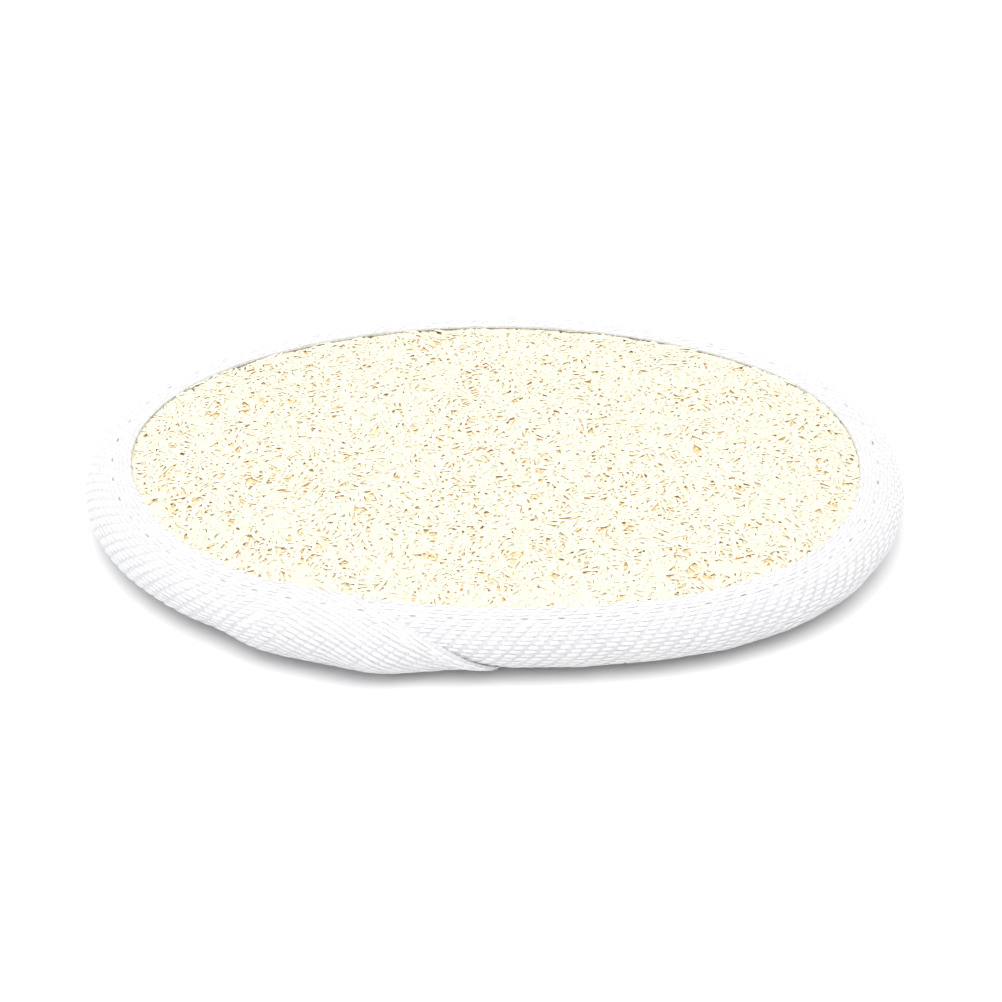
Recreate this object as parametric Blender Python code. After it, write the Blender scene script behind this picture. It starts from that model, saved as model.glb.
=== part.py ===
"""Oval bath pad: a flattened piece of natural loofah, backed with terry cloth and bound with cotton tape.

The origin is on the surface that the pad lies on, under the middle of its outline. X runs along
the pad, Y across it and Z up. The tape's ends lap at the front, which is the -Y side.
"""
import math
import random

import bmesh
import bpy
import numpy as np
from mathutils import Vector

MM = 0.001

# Outline of the face: an ellipse with the small waves of a shape cut and sewn by hand
FACE_HALF_LENGTH = 66.6 * MM
FACE_HALF_WIDTH = 47.8 * MM
FACE_WAVES = {3: (-0.0056, -0.0045), 4: (-0.0125, -0.0024), 5: (-0.0034, 0.0064)}
FACE_CENTRE = Vector((0.7 * MM, -0.57 * MM, 0.0))
FACE_CROWN = 0.8 * MM

# Binding tape, folded round the edge as half an oval in section
TAPE_REACH = 8.1 * MM
TAPE_REACH_WAVES = {1: (-0.015, 0.12), 2: (0.043, 0.077)}
TAPE_TOP = 12.3 * MM
TAPE_BOTTOM = 1.1 * MM
TAPE_THICKNESS = 1.0 * MM
TAPE_STATIONS = 108
OUTER_TURNS = 11
INNER_TURNS = 8
PAD_STATIONS = 56

# Lap of the tape's ends. LAP_END is the distance of its cut end from the front middle, towards
# +X; the other places are distances back from that end
LAP_END = -9 * MM
LAP_BACK = 37 * MM
LAP_RAMP = 10 * MM
LAP_TAPER = 16 * MM
LAP_HEIGHT = 1.75 * MM
LAP_END_HEIGHT = 1.2 * MM
LAP_FOLD_BACK = 20 * MM
LAP_FOLD_RAMP = 5 * MM
LAP_FOLD_TAPER = 18 * MM
LAP_FOLD_HEIGHT = 1.9 * MM
LAP_SLANT = 24 * MM
LAP_SLANT_REACH = 30 * MM
LAP_EDGE_STEP = 0.6 * MM
LAP_SEWN_SHARE = 0.2

# Lockstitch seam: a hole every second station, and the threads in a shallow groove
SEAM_TURN = math.radians(25)
SEAM_GROOVE = 0.3 * MM
SEAM_GROOVE_TURN = math.radians(9)
THREAD_RADIUS = 0.2 * MM
THREAD_ARCH = 0.15 * MM

# Clearance between pieces that touch, and the terry cloth with its flat foot
FIT_GAP = 0.3 * MM
TERRY_TOP = 3.1 * MM
TERRY_FOOT_INSET = 1.2 * MM

# Strands of the loofah's net, raised on the face, and the core that they are first joined to
STRAND_SEED = 11
STRAND_SPACING = 9.7 * MM
STRAND_ROW_PITCH = STRAND_SPACING * math.sqrt(3) / 2
STRAND_JITTER = 0.3 * STRAND_SPACING
STRAND_BEND = 0.35
STRAND_RADIUS = 1.15 * MM
STRAND_LENGTH = (22 * MM, 34 * MM)
STRAND_RISE = 0.3 * MM
STRAND_SINK = 1.3 * MM
STRAND_POINTS = 4
CORE_INSET = 1.5 * MM
CORE_SHARES = (1.0, 0.5)
MAT_SHARES = (0.75, 0.45, 0.15)
MAT_EDGE_TURNS = 6
TERRY_EDGE_TURNS = 3

TAPE_MIDDLE = (TAPE_TOP + TAPE_BOTTOM) / 2
TAPE_HALF_HEIGHT = (TAPE_TOP - TAPE_BOTTOM) / 2
INSIDE_DEPTH = TAPE_THICKNESS + FIT_GAP
FACE_EDGE_HEIGHT = TAPE_TOP - INSIDE_DEPTH


def waves(table, angle):
    """Return 1 plus the sum of the waves in a table of {count: (cosine share, sine share)}."""
    return 1.0 + sum(c * math.cos(n * angle) + s * math.sin(n * angle) for n, (c, s) in table.items())


def smooth(value):
    """Return an even ramp from 0 at 0 to 1 at 1."""
    value = min(1.0, max(0.0, value))
    return value * value * (3.0 - 2.0 * value)


def face_edge(angle, share=1.0):
    """Return the point of the tape's inner edge at an angle, or that share of the way to it."""
    stretch = share * waves(FACE_WAVES, angle)
    return FACE_CENTRE + Vector((FACE_HALF_LENGTH * math.cos(angle) * stretch,
                                 FACE_HALF_WIDTH * math.sin(angle) * stretch, 0.0))


def outward(angle):
    """Return the level direction that points away from the face at an angle of its edge."""
    along = face_edge(angle + 0.001) - face_edge(angle - 0.001)
    return Vector((along.y, -along.x, 0.0)).normalized()


EDGE_ANGLES = np.linspace(-math.pi / 2, 3 * math.pi / 2, 721)
EDGE_POINTS = np.array([face_edge(angle) for angle in EDGE_ANGLES])
EDGE_STEPS = np.linalg.norm(np.diff(EDGE_POINTS, axis=0), axis=1)
EDGE_DISTANCES = np.concatenate([[0.0], np.cumsum(EDGE_STEPS)])
EDGE_LENGTH = float(EDGE_DISTANCES[-1])


def edge_angle(distance):
    """Return the angle of the face's edge at a distance along it from the front middle."""
    return float(np.interp(distance % EDGE_LENGTH, EDGE_DISTANCES, EDGE_ANGLES))


def from_lap_end(distance):
    """Return the shorter signed way from the middle of the lap's end to a distance."""
    return (distance - LAP_END + EDGE_LENGTH / 2) % EDGE_LENGTH - EDGE_LENGTH / 2


def lap_height(distance, turn):
    """Return how far the lap lifts the tape at a distance and a turn round the fold."""
    back = -from_lap_end(distance)
    if back <= 0:
        return 0.0
    two_runs = smooth((LAP_BACK - back) / LAP_RAMP)
    towards_end = 1.0 - smooth(back / LAP_TAPER)
    fold = smooth((LAP_FOLD_BACK - back) / LAP_FOLD_RAMP) * smooth(back / LAP_FOLD_TAPER)
    height = two_runs * (LAP_HEIGHT - (LAP_HEIGHT - LAP_END_HEIGHT) * towards_end)
    height += fold * LAP_FOLD_HEIGHT
    return height * (LAP_SEWN_SHARE + (1.0 - LAP_SEWN_SHARE) * math.sin(turn) ** 2)


def groove(turn):
    """Return how deep the seam pulls the tape in at a turn round the fold."""
    off = min(abs(turn - SEAM_TURN), abs(math.pi - turn - SEAM_TURN)) / SEAM_GROOVE_TURN
    return SEAM_GROOVE * math.exp(-off * off)


def fold_point(distance, turn, depth):
    """Return a point of the folded edge.

    The turn is 0 at the tape's upper inner edge and pi at its lower one. The depth is
    measured into the fold from the tape's plain outer surface.
    """
    way = abs(from_lap_end(distance)) / LAP_SLANT_REACH
    slant = math.cos(way * math.pi / 2) ** 2 if way < 1 else 0.0
    angle = edge_angle(distance + slant * LAP_SLANT * (turn / math.pi - 0.5))
    reach = TAPE_REACH * waves(TAPE_REACH_WAVES, angle)
    point = face_edge(angle) + outward(angle) * ((reach - depth) * math.sin(turn))
    point.z = TAPE_MIDDLE + (TAPE_HALF_HEIGHT - depth) * math.cos(turn)
    return point


def outer_point(distance, turn, above=0.0):
    """Return a point above the tape's outer surface, with its lap and its seam grooves."""
    return fold_point(distance, turn, groove(turn) - lap_height(distance, turn) - above)


def stations():
    """Return the distances of the tape's cross sections, with a close pair at the lap's end."""
    first = LAP_END + LAP_EDGE_STEP / 2
    pitch = (EDGE_LENGTH - LAP_EDGE_STEP) / TAPE_STATIONS
    return [first + index * pitch for index in range(TAPE_STATIONS)] + [LAP_END - LAP_EDGE_STEP / 2]


def pad_places():
    """Return the distances of the points in each ring of the loofah and of the terry cloth."""
    return [index * EDGE_LENGTH / PAD_STATIONS for index in range(PAD_STATIONS)]


def turns(first, last, count):
    """Return evenly spaced turns round the fold."""
    return [first + (last - first) * index / (count - 1) for index in range(count)]


def link_mesh(name, bm, collection):
    """Write a bmesh to a new object with its faces pointing out."""
    bmesh.ops.recalc_face_normals(bm, faces=bm.faces[:])
    mesh = bpy.data.meshes.new(name)
    bm.to_mesh(mesh)
    bm.free()
    obj = bpy.data.objects.new(name, mesh)
    collection.objects.link(obj)
    return obj


def loft(name, rings, collection, closed):
    """Skin a list of rings. A closed loft joins its last ring to its first, another is capped."""
    bm = bmesh.new()
    rows = [[bm.verts.new(point) for point in ring] for ring in rings]
    pairs = list(zip(rows, rows[1:])) + ([(rows[-1], rows[0])] if closed else [])
    for lower, upper in pairs:
        for index in range(len(lower)):
            after = (index + 1) % len(lower)
            bm.faces.new((lower[index], lower[after], upper[after], upper[index]))
    if not closed:
        bm.faces.new(rows[0])
        bm.faces.new(rows[-1])
    return link_mesh(name, bm, collection)


def tube(name, points, radius, collection, cyclic=False):
    """Run a four-sided tube with filled ends along a list of points, as a mesh."""
    curve = bpy.data.curves.new(name, "CURVE")
    curve.dimensions = "3D"
    curve.bevel_depth = radius
    curve.bevel_resolution = 0
    curve.use_fill_caps = not cyclic
    spline = curve.splines.new("POLY")
    spline.points.add(len(points) - 1)
    for spline_point, point in zip(spline.points, points):
        spline_point.co = (*point, 1.0)
    spline.use_cyclic_u = cyclic
    guide = bpy.data.objects.new(name + "_guide", curve)
    collection.objects.link(guide)
    evaluated = guide.evaluated_get(bpy.context.evaluated_depsgraph_get())
    bm = bmesh.new()
    bm.from_mesh(bpy.data.meshes.new_from_object(evaluated))
    bmesh.ops.remove_doubles(bm, verts=bm.verts[:], dist=0.00001)
    bpy.data.objects.remove(guide)
    return link_mesh(name, bm, collection)


def material(name, color, roughness):
    """Return a plain material with a colour and a roughness."""
    made = bpy.data.materials.new(name)
    made.use_nodes = True
    shader = made.node_tree.nodes["Principled BSDF"]
    shader.inputs["Base Color"].default_value = (*color, 1.0)
    shader.inputs["Roughness"].default_value = roughness
    shader.inputs["Metallic"].default_value = 0.0
    return made


def combine(obj, operation, *, other=None, collection=None):
    """Apply one Boolean to an object, with another object or with a whole collection."""
    modifier = obj.modifiers.new(operation.title(), "BOOLEAN")
    modifier.operation = operation
    modifier.solver = "MANIFOLD"
    if collection:
        modifier.operand_type = "COLLECTION"
        modifier.collection = collection
    else:
        modifier.object = other
    evaluated = obj.evaluated_get(bpy.context.evaluated_depsgraph_get())
    result = bpy.data.meshes.new_from_object(evaluated)
    obj.modifiers.clear()
    obj.data = result


def keep_outer_skin(obj):
    """Fill the sealed hollows and drop the loose scraps that Booleans leave."""
    bm = bmesh.new()
    bm.from_mesh(obj.data)
    skins, seen = [], set()
    for vert in bm.verts:
        if vert in seen:
            continue
        skin, waiting = {vert}, [vert]
        while waiting:
            for edge in waiting.pop().link_edges:
                for other in edge.verts:
                    if other not in skin:
                        skin.add(other)
                        waiting.append(other)
        seen |= skin
        skins.append(skin)
    skins.sort(key=len)
    bmesh.ops.delete(bm, geom=[vert for skin in skins[:-1] for vert in skin], context="VERTS")
    bm.to_mesh(obj.data)
    bm.free()


def face_height(point):
    """Return the height of the loofah's plain face at a point, where the strands are rooted."""
    along = (point.x - FACE_CENTRE.x) / FACE_HALF_LENGTH
    across = (point.y - FACE_CENTRE.y) / FACE_HALF_WIDTH
    return FACE_EDGE_HEIGHT + FACE_CROWN * max(0.0, 1.0 - along ** 2 - across ** 2)


def edge_rings(first_turn, last_turn, count):
    """Return rings inside the tape's fold, from one turn to another."""
    return [[fold_point(place, turn, INSIDE_DEPTH) for place in pad_places()]
            for turn in turns(first_turn, last_turn, count)]


def level_ring(share, inset, height):
    """Return a level ring that keeps a share of the face's outline, less an inset."""
    ring = []
    for place in pad_places():
        angle = edge_angle(place)
        point = face_edge(angle, share) - outward(angle) * inset
        point.z = height if height is not None else face_height(point)
        ring.append(point)
    return ring


def middle_turn(height):
    """Return the turn at which the inside of the fold passes a height."""
    return math.acos((height - TAPE_MIDDLE) / (TAPE_HALF_HEIGHT - INSIDE_DEPTH))


def strand_points(draw, middle):
    """Return the points of one strand, arched over the face with both ends sunk into it."""
    heading = draw.uniform(0.0, math.pi)
    bend = draw.uniform(-STRAND_BEND, STRAND_BEND)
    half = draw.uniform(*STRAND_LENGTH) / 2
    points = []
    for index in range(STRAND_POINTS):
        way = 2.0 * index / (STRAND_POINTS - 1) - 1.0
        direction = heading + bend * way
        point = middle + Vector((math.cos(direction), math.sin(direction), 0.0)) * (way * half)
        point.z = face_height(point) + STRAND_RISE - (STRAND_RISE + STRAND_SINK) * way ** 6
        points.append(point)
    return points


def make_strands(collection):
    """Lay the strands over the face, each near its own place of an even grid."""
    draw = random.Random(STRAND_SEED)
    rows = int(FACE_HALF_WIDTH / STRAND_ROW_PITCH) + 1
    columns = int(FACE_HALF_LENGTH / STRAND_SPACING) + 1
    for row in range(-rows, rows + 1):
        for column in range(-columns, columns + 1):
            place = Vector(((column + 0.5 * (row % 2)) * STRAND_SPACING, row * STRAND_ROW_PITCH, 0.0))
            place += Vector((draw.uniform(-1, 1), draw.uniform(-1, 1), 0.0)) * STRAND_JITTER
            points = strand_points(draw, FACE_CENTRE + place)
            angle = math.atan2(place.y / FACE_HALF_WIDTH, place.x / FACE_HALF_LENGTH)
            if place.length < (face_edge(angle) - FACE_CENTRE).length - 2 * STRAND_RADIUS:
                tube("strand", points, STRAND_RADIUS, collection)


def make_trim(collection):
    """Make the ring that cuts the net of strands off where the tape's edge lies."""
    far, high, low = -2 * TAPE_REACH, 2 * TAPE_TOP, TERRY_TOP
    places = ((FIT_GAP, low), (far, low), (far, high), (FIT_GAP, high))
    trim = loft("strand_trim", [level_ring(1.0, *place) for place in places], collection, closed=True)
    trim.hide_render = True
    trim.display_type = "WIRE"
    return trim


def make_net(parts, cutters):
    """Make the net: strands on a core that ends up inside the mat, cut off at the tape's edge."""
    core = [level_ring(1.0, CORE_INSET, FACE_EDGE_HEIGHT - 2 * STRAND_SINK)]
    core += [level_ring(share, CORE_INSET, FACE_EDGE_HEIGHT - STRAND_SINK) for share in CORE_SHARES]
    net = loft("loofah_net", core, parts, closed=False)
    strands = bpy.data.collections.new("strands")
    bpy.context.scene.collection.children.link(strands)
    make_strands(strands)
    combine(net, "UNION", collection=strands)
    for strand in list(strands.objects):
        bpy.data.objects.remove(strand)
    bpy.data.collections.remove(strands)
    combine(net, "DIFFERENCE", other=make_trim(cutters))
    return net


def make_loofah(parts, cutters):
    """Make the loofah: a mat with a round edge, and the net of strands raised on its face."""
    low = TERRY_TOP + FIT_GAP / 2
    rings = edge_rings(middle_turn(low), 0.0, MAT_EDGE_TURNS)
    rings += [level_ring(share, 0.0, None) for share in MAT_SHARES]
    pad = loft("loofah_pad", rings, parts, closed=False)
    net = make_net(parts, cutters)
    combine(pad, "UNION", other=net)
    bpy.data.objects.remove(net)
    keep_outer_skin(pad)
    pad.data.materials.append(material("loofah_fibre", (0.86, 0.79, 0.60), 0.75))
    return pad


def make_terry(parts):
    """Make the terry cloth: a thin flat layer that bulges below the tape's lower edge."""
    high = TERRY_TOP - FIT_GAP / 2
    rings = [level_ring(1.0, TERRY_FOOT_INSET, 0.0), level_ring(1.0, FIT_GAP, TAPE_BOTTOM + INSIDE_DEPTH)]
    rings += edge_rings(math.pi, middle_turn(high), TERRY_EDGE_TURNS)[1:]
    terry = loft("terry_backing", rings, parts, closed=False)
    terry.data.materials.append(material("terry_cotton", (0.88, 0.86, 0.81), 0.95))
    return terry


def make_tape(parts):
    """Make the binding tape: a folded strip all round, thicker where its ends lap."""
    outer, inner = turns(0.0, math.pi, OUTER_TURNS), turns(math.pi, 0.0, INNER_TURNS)
    rings = []
    for place in stations():
        ring = [outer_point(place, turn) for turn in outer]
        ring += [fold_point(place, turn, TAPE_THICKNESS) for turn in inner]
        rings.append(ring)
    tape = loft("binding_tape", rings, parts, closed=True)
    tape.data.materials.append(material("cotton_tape", (0.90, 0.90, 0.90), 0.85))
    return tape


def make_thread(name, turn, parts):
    """Make one thread of the seam: it dips at each hole and arches over each stitch."""
    points = []
    for index, place in enumerate(stations()):
        above = FIT_GAP + THREAD_RADIUS + THREAD_ARCH * ((index + 1) % 2)
        points.append(outer_point(place, turn, above))
    thread = tube(name, points, THREAD_RADIUS, parts, cyclic=True)
    thread.data.materials.append(material(name + "_cotton", (0.92, 0.92, 0.91), 0.6))
    return thread


def main():
    """Clear the scene and build the pad."""
    for obj in list(bpy.data.objects):
        bpy.data.objects.remove(obj)
    parts = bpy.data.collections.new("loofah_bath_pad")
    cutters = bpy.data.collections.new("cutters")
    for collection in (parts, cutters):
        bpy.context.scene.collection.children.link(collection)
    make_loofah(parts, cutters)
    make_terry(parts)
    make_tape(parts)
    make_thread("needle_thread", SEAM_TURN, parts)
    make_thread("bobbin_thread", math.pi - SEAM_TURN, parts)


main()
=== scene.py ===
import logging
import math
from dataclasses import dataclass, field
from enum import Enum
from typing import Callable, Sequence, Union

import bmesh
import bpy
import numpy as np
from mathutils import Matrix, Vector


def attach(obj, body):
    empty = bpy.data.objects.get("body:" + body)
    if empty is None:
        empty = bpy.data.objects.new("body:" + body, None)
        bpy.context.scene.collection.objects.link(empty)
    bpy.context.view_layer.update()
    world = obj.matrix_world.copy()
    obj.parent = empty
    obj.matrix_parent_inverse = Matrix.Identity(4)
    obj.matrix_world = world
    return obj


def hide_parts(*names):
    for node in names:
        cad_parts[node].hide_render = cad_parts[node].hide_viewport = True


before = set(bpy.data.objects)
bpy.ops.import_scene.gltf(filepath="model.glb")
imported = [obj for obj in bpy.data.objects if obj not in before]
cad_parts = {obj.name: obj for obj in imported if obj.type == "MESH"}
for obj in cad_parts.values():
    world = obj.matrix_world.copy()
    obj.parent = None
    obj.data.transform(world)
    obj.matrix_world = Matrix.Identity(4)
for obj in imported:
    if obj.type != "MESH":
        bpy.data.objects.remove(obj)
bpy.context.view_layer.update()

MM = 0.001
BODY = "root"
LOG = logging.getLogger("loofah_pad")
# The wave texture's scale at which diagonal bands lie 1 m apart.
WAVE_UNIT = 0.31

Colour = tuple[float, float, float]
Place = tuple[float, float, float]
Span = tuple[float, float]
Waves = dict[int, Span]
Numbers = Union[float, np.ndarray]


class Slot(Enum):
    """Names for the pad's material slots; nothing below uses them."""

    LOOFAH = "loofah_fibre"
    TERRY = "terry_cotton"
    TAPE = "cotton_tape"
    THREAD = "sewing_thread"


def smooth(value: Numbers) -> Numbers:
    """Return an even ramp from 0 at 0 and below to 1 at 1 and above."""
    value = np.clip(value, 0.0, 1.0)
    return value * value * (3.0 - 2.0 * value)


def swing(waves: Waves, angle: np.ndarray) -> np.ndarray:
    """Return the sum of whole waves round an oval, each with its cosine's and sine's share."""
    return sum(c * np.cos(n * angle) + s * np.sin(n * angle) for n, (c, s) in waves.items())


def walked(points: np.ndarray) -> np.ndarray:
    """Return the way walked to each point of one line of points, or of several."""
    steps = np.linalg.norm(np.diff(points, axis=-2), axis=-1)
    return np.concatenate([np.zeros((*steps.shape[:-1], 1)), np.cumsum(steps, axis=-1)], axis=-1)


def ripple(x: np.ndarray, y: np.ndarray, size: float, seed: int, layers: int = 6) -> np.ndarray:
    """Return a soft, seeded unevenness over a plane, made of a few crossing waves.

    Args:
        x: Places along one axis, in metres.
        y: Places along the other axis, in metres.
        size: The usual width of one swell, in metres.
        seed: The seed of the waves' headings and phases.
        layers: How many waves are summed.

    Returns:
        Heights of about -1 to 1.
    """
    draw = np.random.default_rng(seed)
    total = np.zeros(np.broadcast(x, y).shape)
    for _ in range(layers):
        heading, phase = draw.uniform(0.0, 2.0 * math.pi, 2)
        pitch = size * draw.uniform(0.7, 1.6)
        way = x * math.cos(heading) + y * math.sin(heading)
        total += np.sin(way * 2.0 * math.pi / pitch + phase)
    return total / math.sqrt(layers)


class Tone:
    """A shader value. Arithmetic on it adds the Math nodes that work it out."""

    def __init__(self, sheet: "NodeSheet", socket: bpy.types.NodeSocket) -> None:
        """Wrap a socket of a node sheet."""
        self.sheet = sheet
        self.socket = socket

    def _with(self, operation: str, first: "Value", second: "Value") -> "Tone":
        """Return the Math node's result for an operation on two values."""
        return self.sheet.tone("ShaderNodeMath", {"operation": operation}, {0: first, 1: second})

    def __add__(self, other: "Value") -> "Tone":
        """Return the sum."""
        return self._with("ADD", self, other)

    def __sub__(self, other: "Value") -> "Tone":
        """Return the difference."""
        return self._with("SUBTRACT", self, other)

    def __rsub__(self, other: "Value") -> "Tone":
        """Return the difference from a number."""
        return self._with("SUBTRACT", other, self)

    def __mul__(self, other: "Value") -> "Tone":
        """Return the product."""
        return self._with("MULTIPLY", self, other)

    __radd__ = __add__
    __rmul__ = __mul__


Value = Union[float, Tone]


class NodeSheet:
    """The shader nodes of one new material."""

    def __init__(self, name: str) -> None:
        """Start a material with an output and a Principled BSDF.

        Args:
            name: The material's name.
        """
        self.material = bpy.data.materials.new(name)
        self.material.use_nodes = True
        self.tree = self.material.node_tree
        self.shader = self.tree.nodes["Principled BSDF"]

    def node(self, kind: str, settings: dict, inputs: dict) -> bpy.types.Node:
        """Add a node.

        Args:
            kind: The node's type.
            settings: Attributes of the node, set first.
            inputs: Values, tones or sockets for its inputs, by name or number.

        Returns:
            The new node.
        """
        made = self.tree.nodes.new(kind)
        for key, value in settings.items():
            setattr(made, key, value)
        for key, value in inputs.items():
            self.feed(made.inputs[key], value)
        return made

    def feed(self, socket: bpy.types.NodeSocket, value: Union[Value, Sequence[float]]) -> None:
        """Link a tone or a socket to an input, or set the input's own value."""
        if isinstance(value, Tone):
            value = value.socket
        if isinstance(value, bpy.types.NodeSocket):
            self.tree.links.new(value, socket)
        else:
            socket.default_value = value

    def tone(self, kind: str, settings: dict, inputs: dict, output: Union[int, str] = 0) -> Tone:
        """Add a node and return one of its outputs as a tone."""
        return Tone(self, self.node(kind, settings, inputs).outputs[output])

    def attribute(self, name: str) -> Tone:
        """Return a number stored on the piece's points."""
        return self.tone("ShaderNodeAttribute", {"attribute_name": name}, {}, "Fac")

    def place(self) -> bpy.types.NodeSocket:
        """Return the place on the piece, in metres."""
        return self.node("ShaderNodeTexCoord", {}, {}).outputs["Object"]

    def flat_place(self) -> bpy.types.NodeSocket:
        """Return the place on the piece's flat cut, from its UV map."""
        return self.node("ShaderNodeTexCoord", {}, {}).outputs["UV"]

    def noise(self, place: bpy.types.NodeSocket, size: float, detail: float = 2.0) -> Tone:
        """Return a noise whose grains have a size in metres."""
        return self.tone("ShaderNodeTexNoise", {}, {"Vector": place, "Scale": 1.0 / size, "Detail": detail})

    def bands(self, pitch: float, inputs: dict) -> Tone:
        """Return diagonal bands over the piece's flat cut, with a pitch in metres."""
        inputs = {"Vector": self.flat_place(), "Scale": WAVE_UNIT / pitch, **inputs}
        settings = {"wave_type": "BANDS", "bands_direction": "DIAGONAL"}
        return self.tone("ShaderNodeTexWave", settings, inputs, "Fac")

    def ramp(self, value: Tone, low: float, high: float) -> Tone:
        """Return 0 below a low value and 1 above a high one, with an even rise between."""
        inputs = {"Value": value, "From Min": low, "From Max": high}
        return self.tone("ShaderNodeMapRange", {"interpolation_type": "SMOOTHSTEP"}, inputs)

    def blend(self, share: Value, first: Union[Colour, bpy.types.NodeSocket],
              second: Union[Colour, bpy.types.NodeSocket]) -> bpy.types.NodeSocket:
        """Return a colour between two.

        Args:
            share: How much of the second colour there is, from 0 to 1.
            first: The first colour, or a colour socket.
            second: The second colour, or a colour socket.

        Returns:
            The mixed colour's socket.
        """
        colours = [(*value, 1.0) if isinstance(value, tuple) else value for value in (first, second)]
        made = self.node("ShaderNodeMix", {"data_type": "RGBA"}, {0: share, 6: colours[0], 7: colours[1]})
        return made.outputs[2]

    def bump(self, height: Tone, depth: float, strength: float = 1.0) -> None:
        """Feed the shader's normal with a relief of a depth in metres."""
        made = self.node("ShaderNodeBump", {}, {"Height": height, "Distance": depth, "Strength": strength})
        self.feed(self.shader.inputs["Normal"], made.outputs["Normal"])

    def colour(self, socket: bpy.types.NodeSocket) -> None:
        """Feed the shader's base colour."""
        self.feed(self.shader.inputs["Base Color"], socket)

    def set(self, **values: Union[float, Sequence[float]]) -> None:
        """Set constants on the shader's own sockets, spelled with underscores for spaces."""
        for name, value in values.items():
            self.shader.inputs[name.replace("_", " ").title()].default_value = value


@dataclass(frozen=True)
class LoofahFinish:
    """Dry loofah fibre: cream on its crests, with honey-brown painted shade where it lies deep."""

    crest: Colour = (0.88, 0.825, 0.66)
    body: Colour = (0.85, 0.785, 0.585)
    # Painted shade: the honey brown that fibres and the mat take the deeper they lie below the face.
    deep: Colour = (0.80, 0.55, 0.26)
    glow: Colour = (1.0, 0.80, 0.55)
    glow_share: float = 0.22
    glow_depth: float = 0.6 * MM
    roughness: float = 0.52
    grain: float = 0.16 * MM
    grain_depth: float = 0.06 * MM

    def make(self, name: str) -> bpy.types.Material:
        """Return the material, which reads the points' painted shade depth and tone."""
        sheet = NodeSheet(name)
        grain = sheet.noise(sheet.place(), self.grain)
        pale = sheet.blend(sheet.attribute("tone") * 0.6 + grain * 0.25, self.crest, self.body)
        # Painted shade: points that lie deep blend towards the honey-brown deep colour.
        sheet.colour(sheet.blend(sheet.attribute("painted_shade"), pale, self.deep))
        sheet.feed(sheet.shader.inputs["Roughness"], grain * 0.2 + self.roughness)
        sheet.set(subsurface_weight=self.glow_share, subsurface_radius=self.glow,
                  subsurface_scale=self.glow_depth)
        sheet.bump(grain, self.grain_depth, 0.5)
        return sheet.material


@dataclass(frozen=True)
class CottonTapeFinish:
    """White cotton twill tape: bright floats with painted shade in the hollows between them and on their
    lower sides, and fine plies along each yarn.
    """

    float_colour: Colour = (0.775, 0.775, 0.784)
    # Painted shade: the greyer, bluer colour of the hollows between floats and of the floats' lower sides.
    painted_hollow_shade: Colour = (0.59, 0.59, 0.615)
    # Painted shadow: the near-black colour of the slits at the stitch holes.
    painted_hole_shadow: Colour = (0.12, 0.105, 0.095)
    roughness: float = 0.78
    ply: float = 0.24 * MM
    ply_stretch: float = 0.22
    fuzz: float = 0.5 * MM
    weft: float = 0.62 * MM
    relief_depth: float = 0.12 * MM
    slit_half: Span = (0.68 * MM, 0.17 * MM)
    slit_change: float = 9 * MM

    def painted_slit_shadow(self, sheet: NodeSheet, holes: tuple[Span, Span]) -> Tone:
        """Return how strongly painted shadow darkens the thin slits at the stitch holes, which differs
        along the seam.

        Args:
            sheet: The material's nodes.
            holes: For each way of the flat cut, where the row of holes mirrors and a hole's place.

        Returns:
            0 on plain cloth and up to 0.85 in a slit.
        """
        parts = sheet.node("ShaderNodeSeparateXYZ", {}, {0: sheet.flat_place()})
        from_hole = 0.0
        for output, (mirror, place), half in zip(parts.outputs, holes, self.slit_half):
            way = sheet.tone("ShaderNodeMath", {"operation": "PINGPONG"}, {0: output, 1: mirror}) - place
            from_hole = way * way * (1.0 / half ** 2) + from_hole
        shade = sheet.ramp(sheet.noise(sheet.place(), self.slit_change), 0.38, 0.66) * 0.55 + 0.30
        return (1.0 - sheet.ramp(from_hole, 0.2, 1.4)) * shade

    def make(self, name: str, holes: tuple[Span, Span]) -> bpy.types.Material:
        """Return the material, which reads the points' relief and the flat cut.

        Args:
            name: Its name.
            holes: The stitch holes, as slits takes them.

        Returns:
            The material.
        """
        sheet = NodeSheet(name)
        slit_shadow = self.painted_slit_shadow(sheet, holes)
        stretch = {"Vector": sheet.flat_place(), "Scale": (self.ply_stretch, 1.0, 1.0)}
        plies = sheet.noise(sheet.node("ShaderNodeMapping", {}, stretch).outputs[0], self.ply, 3.0)
        fuzz = sheet.noise(sheet.place(), self.fuzz, 3.0)
        weft = sheet.bands(self.weft, {"Distortion": 1.5, "Detail": 1.0})
        raised = sheet.attribute("relief") * 0.8 + plies * 0.5 + weft * 0.25
        # Painted shade: low relief, together with the plies and the weft, blends the cloth towards the
        # hollow colour.
        cloth = sheet.blend(sheet.ramp(raised, 0.2, 1.15), self.painted_hollow_shade, self.float_colour)
        # Painted shadow at the stitch holes darkens the cloth.
        sheet.colour(sheet.blend(slit_shadow, cloth, self.painted_hole_shadow))
        sheet.feed(sheet.shader.inputs["Roughness"], fuzz * 0.15 + self.roughness)
        sheet.set(sheen_weight=0.25, sheen_roughness=0.5)
        sheet.bump(plies * 0.5 + fuzz * 0.2 + weft * 0.3, self.relief_depth, 0.7)
        return sheet.material


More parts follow.
